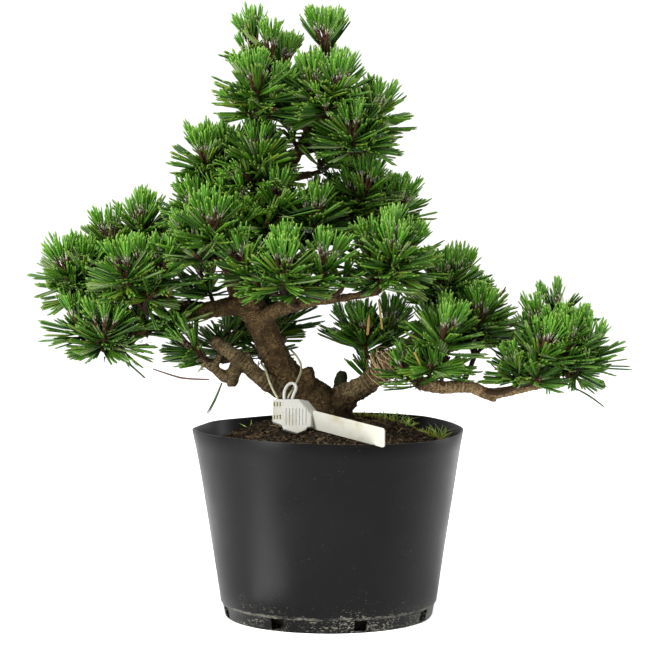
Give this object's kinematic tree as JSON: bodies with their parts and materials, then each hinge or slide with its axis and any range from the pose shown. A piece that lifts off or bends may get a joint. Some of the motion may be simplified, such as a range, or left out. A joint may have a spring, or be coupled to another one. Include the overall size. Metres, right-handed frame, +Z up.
{
  "type": "kotobuki japanese black pine bonsai",
  "caption": "Potted dwarf black pine bonsai with a leaning trunk, spreading boughs and dense short needle tufts, in a black plastic nursery pot with a blank plant tag.",
  "frame": {"origin": "middle of the pot's flat underside", "axes": "+Z up, +X to the right of the tree's front view, -Y towards the viewer of the front"},
  "size_m": [0.3425, 0.1908, 0.3407],
  "materials": {
    "pot_plastic": "satin charcoal-black thin plastic with dust and lime specks",
    "soil": "crumbly brown potting soil",
    "bark": "mottled brown fissured bark",
    "needles": "short green needles, bright at the tips of the tufts",
    "tag_plastic": "weathered white plastic",
    "tag_wire": "pale plastic-coated wire"
  },
  "bodies": {
    "root": {"bough_back_low": "bark", "bough_back_mid": "bark", "bough_back_upper": "bark", "bough_front": "bark", "bough_left": "bark", "bough_low_left": "bark", "bough_mid_left": "bark", "bough_right": "bark", "bough_top_left": "bark", "bough_top_right": "bark", "bough_upper_left": "bark", "bough_upper_right": "bark", "branch_left_back": "bark", "branch_left_up": "bark", "branch_right_back": "bark", "branch_right_low": "bark", "branch_right_up": "bark", "needles_back_high": "needles", "needles_back_left": "needles", "needles_back_low": "needles", "needles_back_mid": "needles", "needles_crown_back": "needles", "needles_crown_back_left": "needles", "needles_east": "needles", "needles_east_tip": "needles", "needles_far_left_tip": "needles", "needles_front": "needles", "needles_heart_right": "needles", "needles_left_back": "needles", "needles_left_crest": "needles", "needles_left_low": "needles", "needles_left_mid": "needles", "needles_low_left": "needles", "needles_right_back": "needles", "needles_right_crest": "needles", "needles_right_far_back": "needles", "needles_right_front": "needles", "needles_right_low": "needles", "needles_right_mid": "needles", "needles_right_tip": "needles", "needles_right_upper": "needles", "needles_shoulder_left": "needles", "needles_shoulder_mid": "needles", "needles_shoulder_right": "needles", "needles_top_back": "needles", "needles_top_left": "needles", "needles_top_mid": "needles", "needles_top_peak": "needles", "needles_top_right": "needles", "needles_top_west": "needles", "needles_under_right": "needles", "needles_west_crown": "needles", "needles_west_high": "needles", "needles_west_inner": "needles", "nursery_pot": "pot_plastic", "soil": "soil", "tag_clip": "tag_plastic", "tag_strip": "tag_plastic", "tag_wire": "tag_wire", "trunk": "bark"}
  },
  "joints": []
}
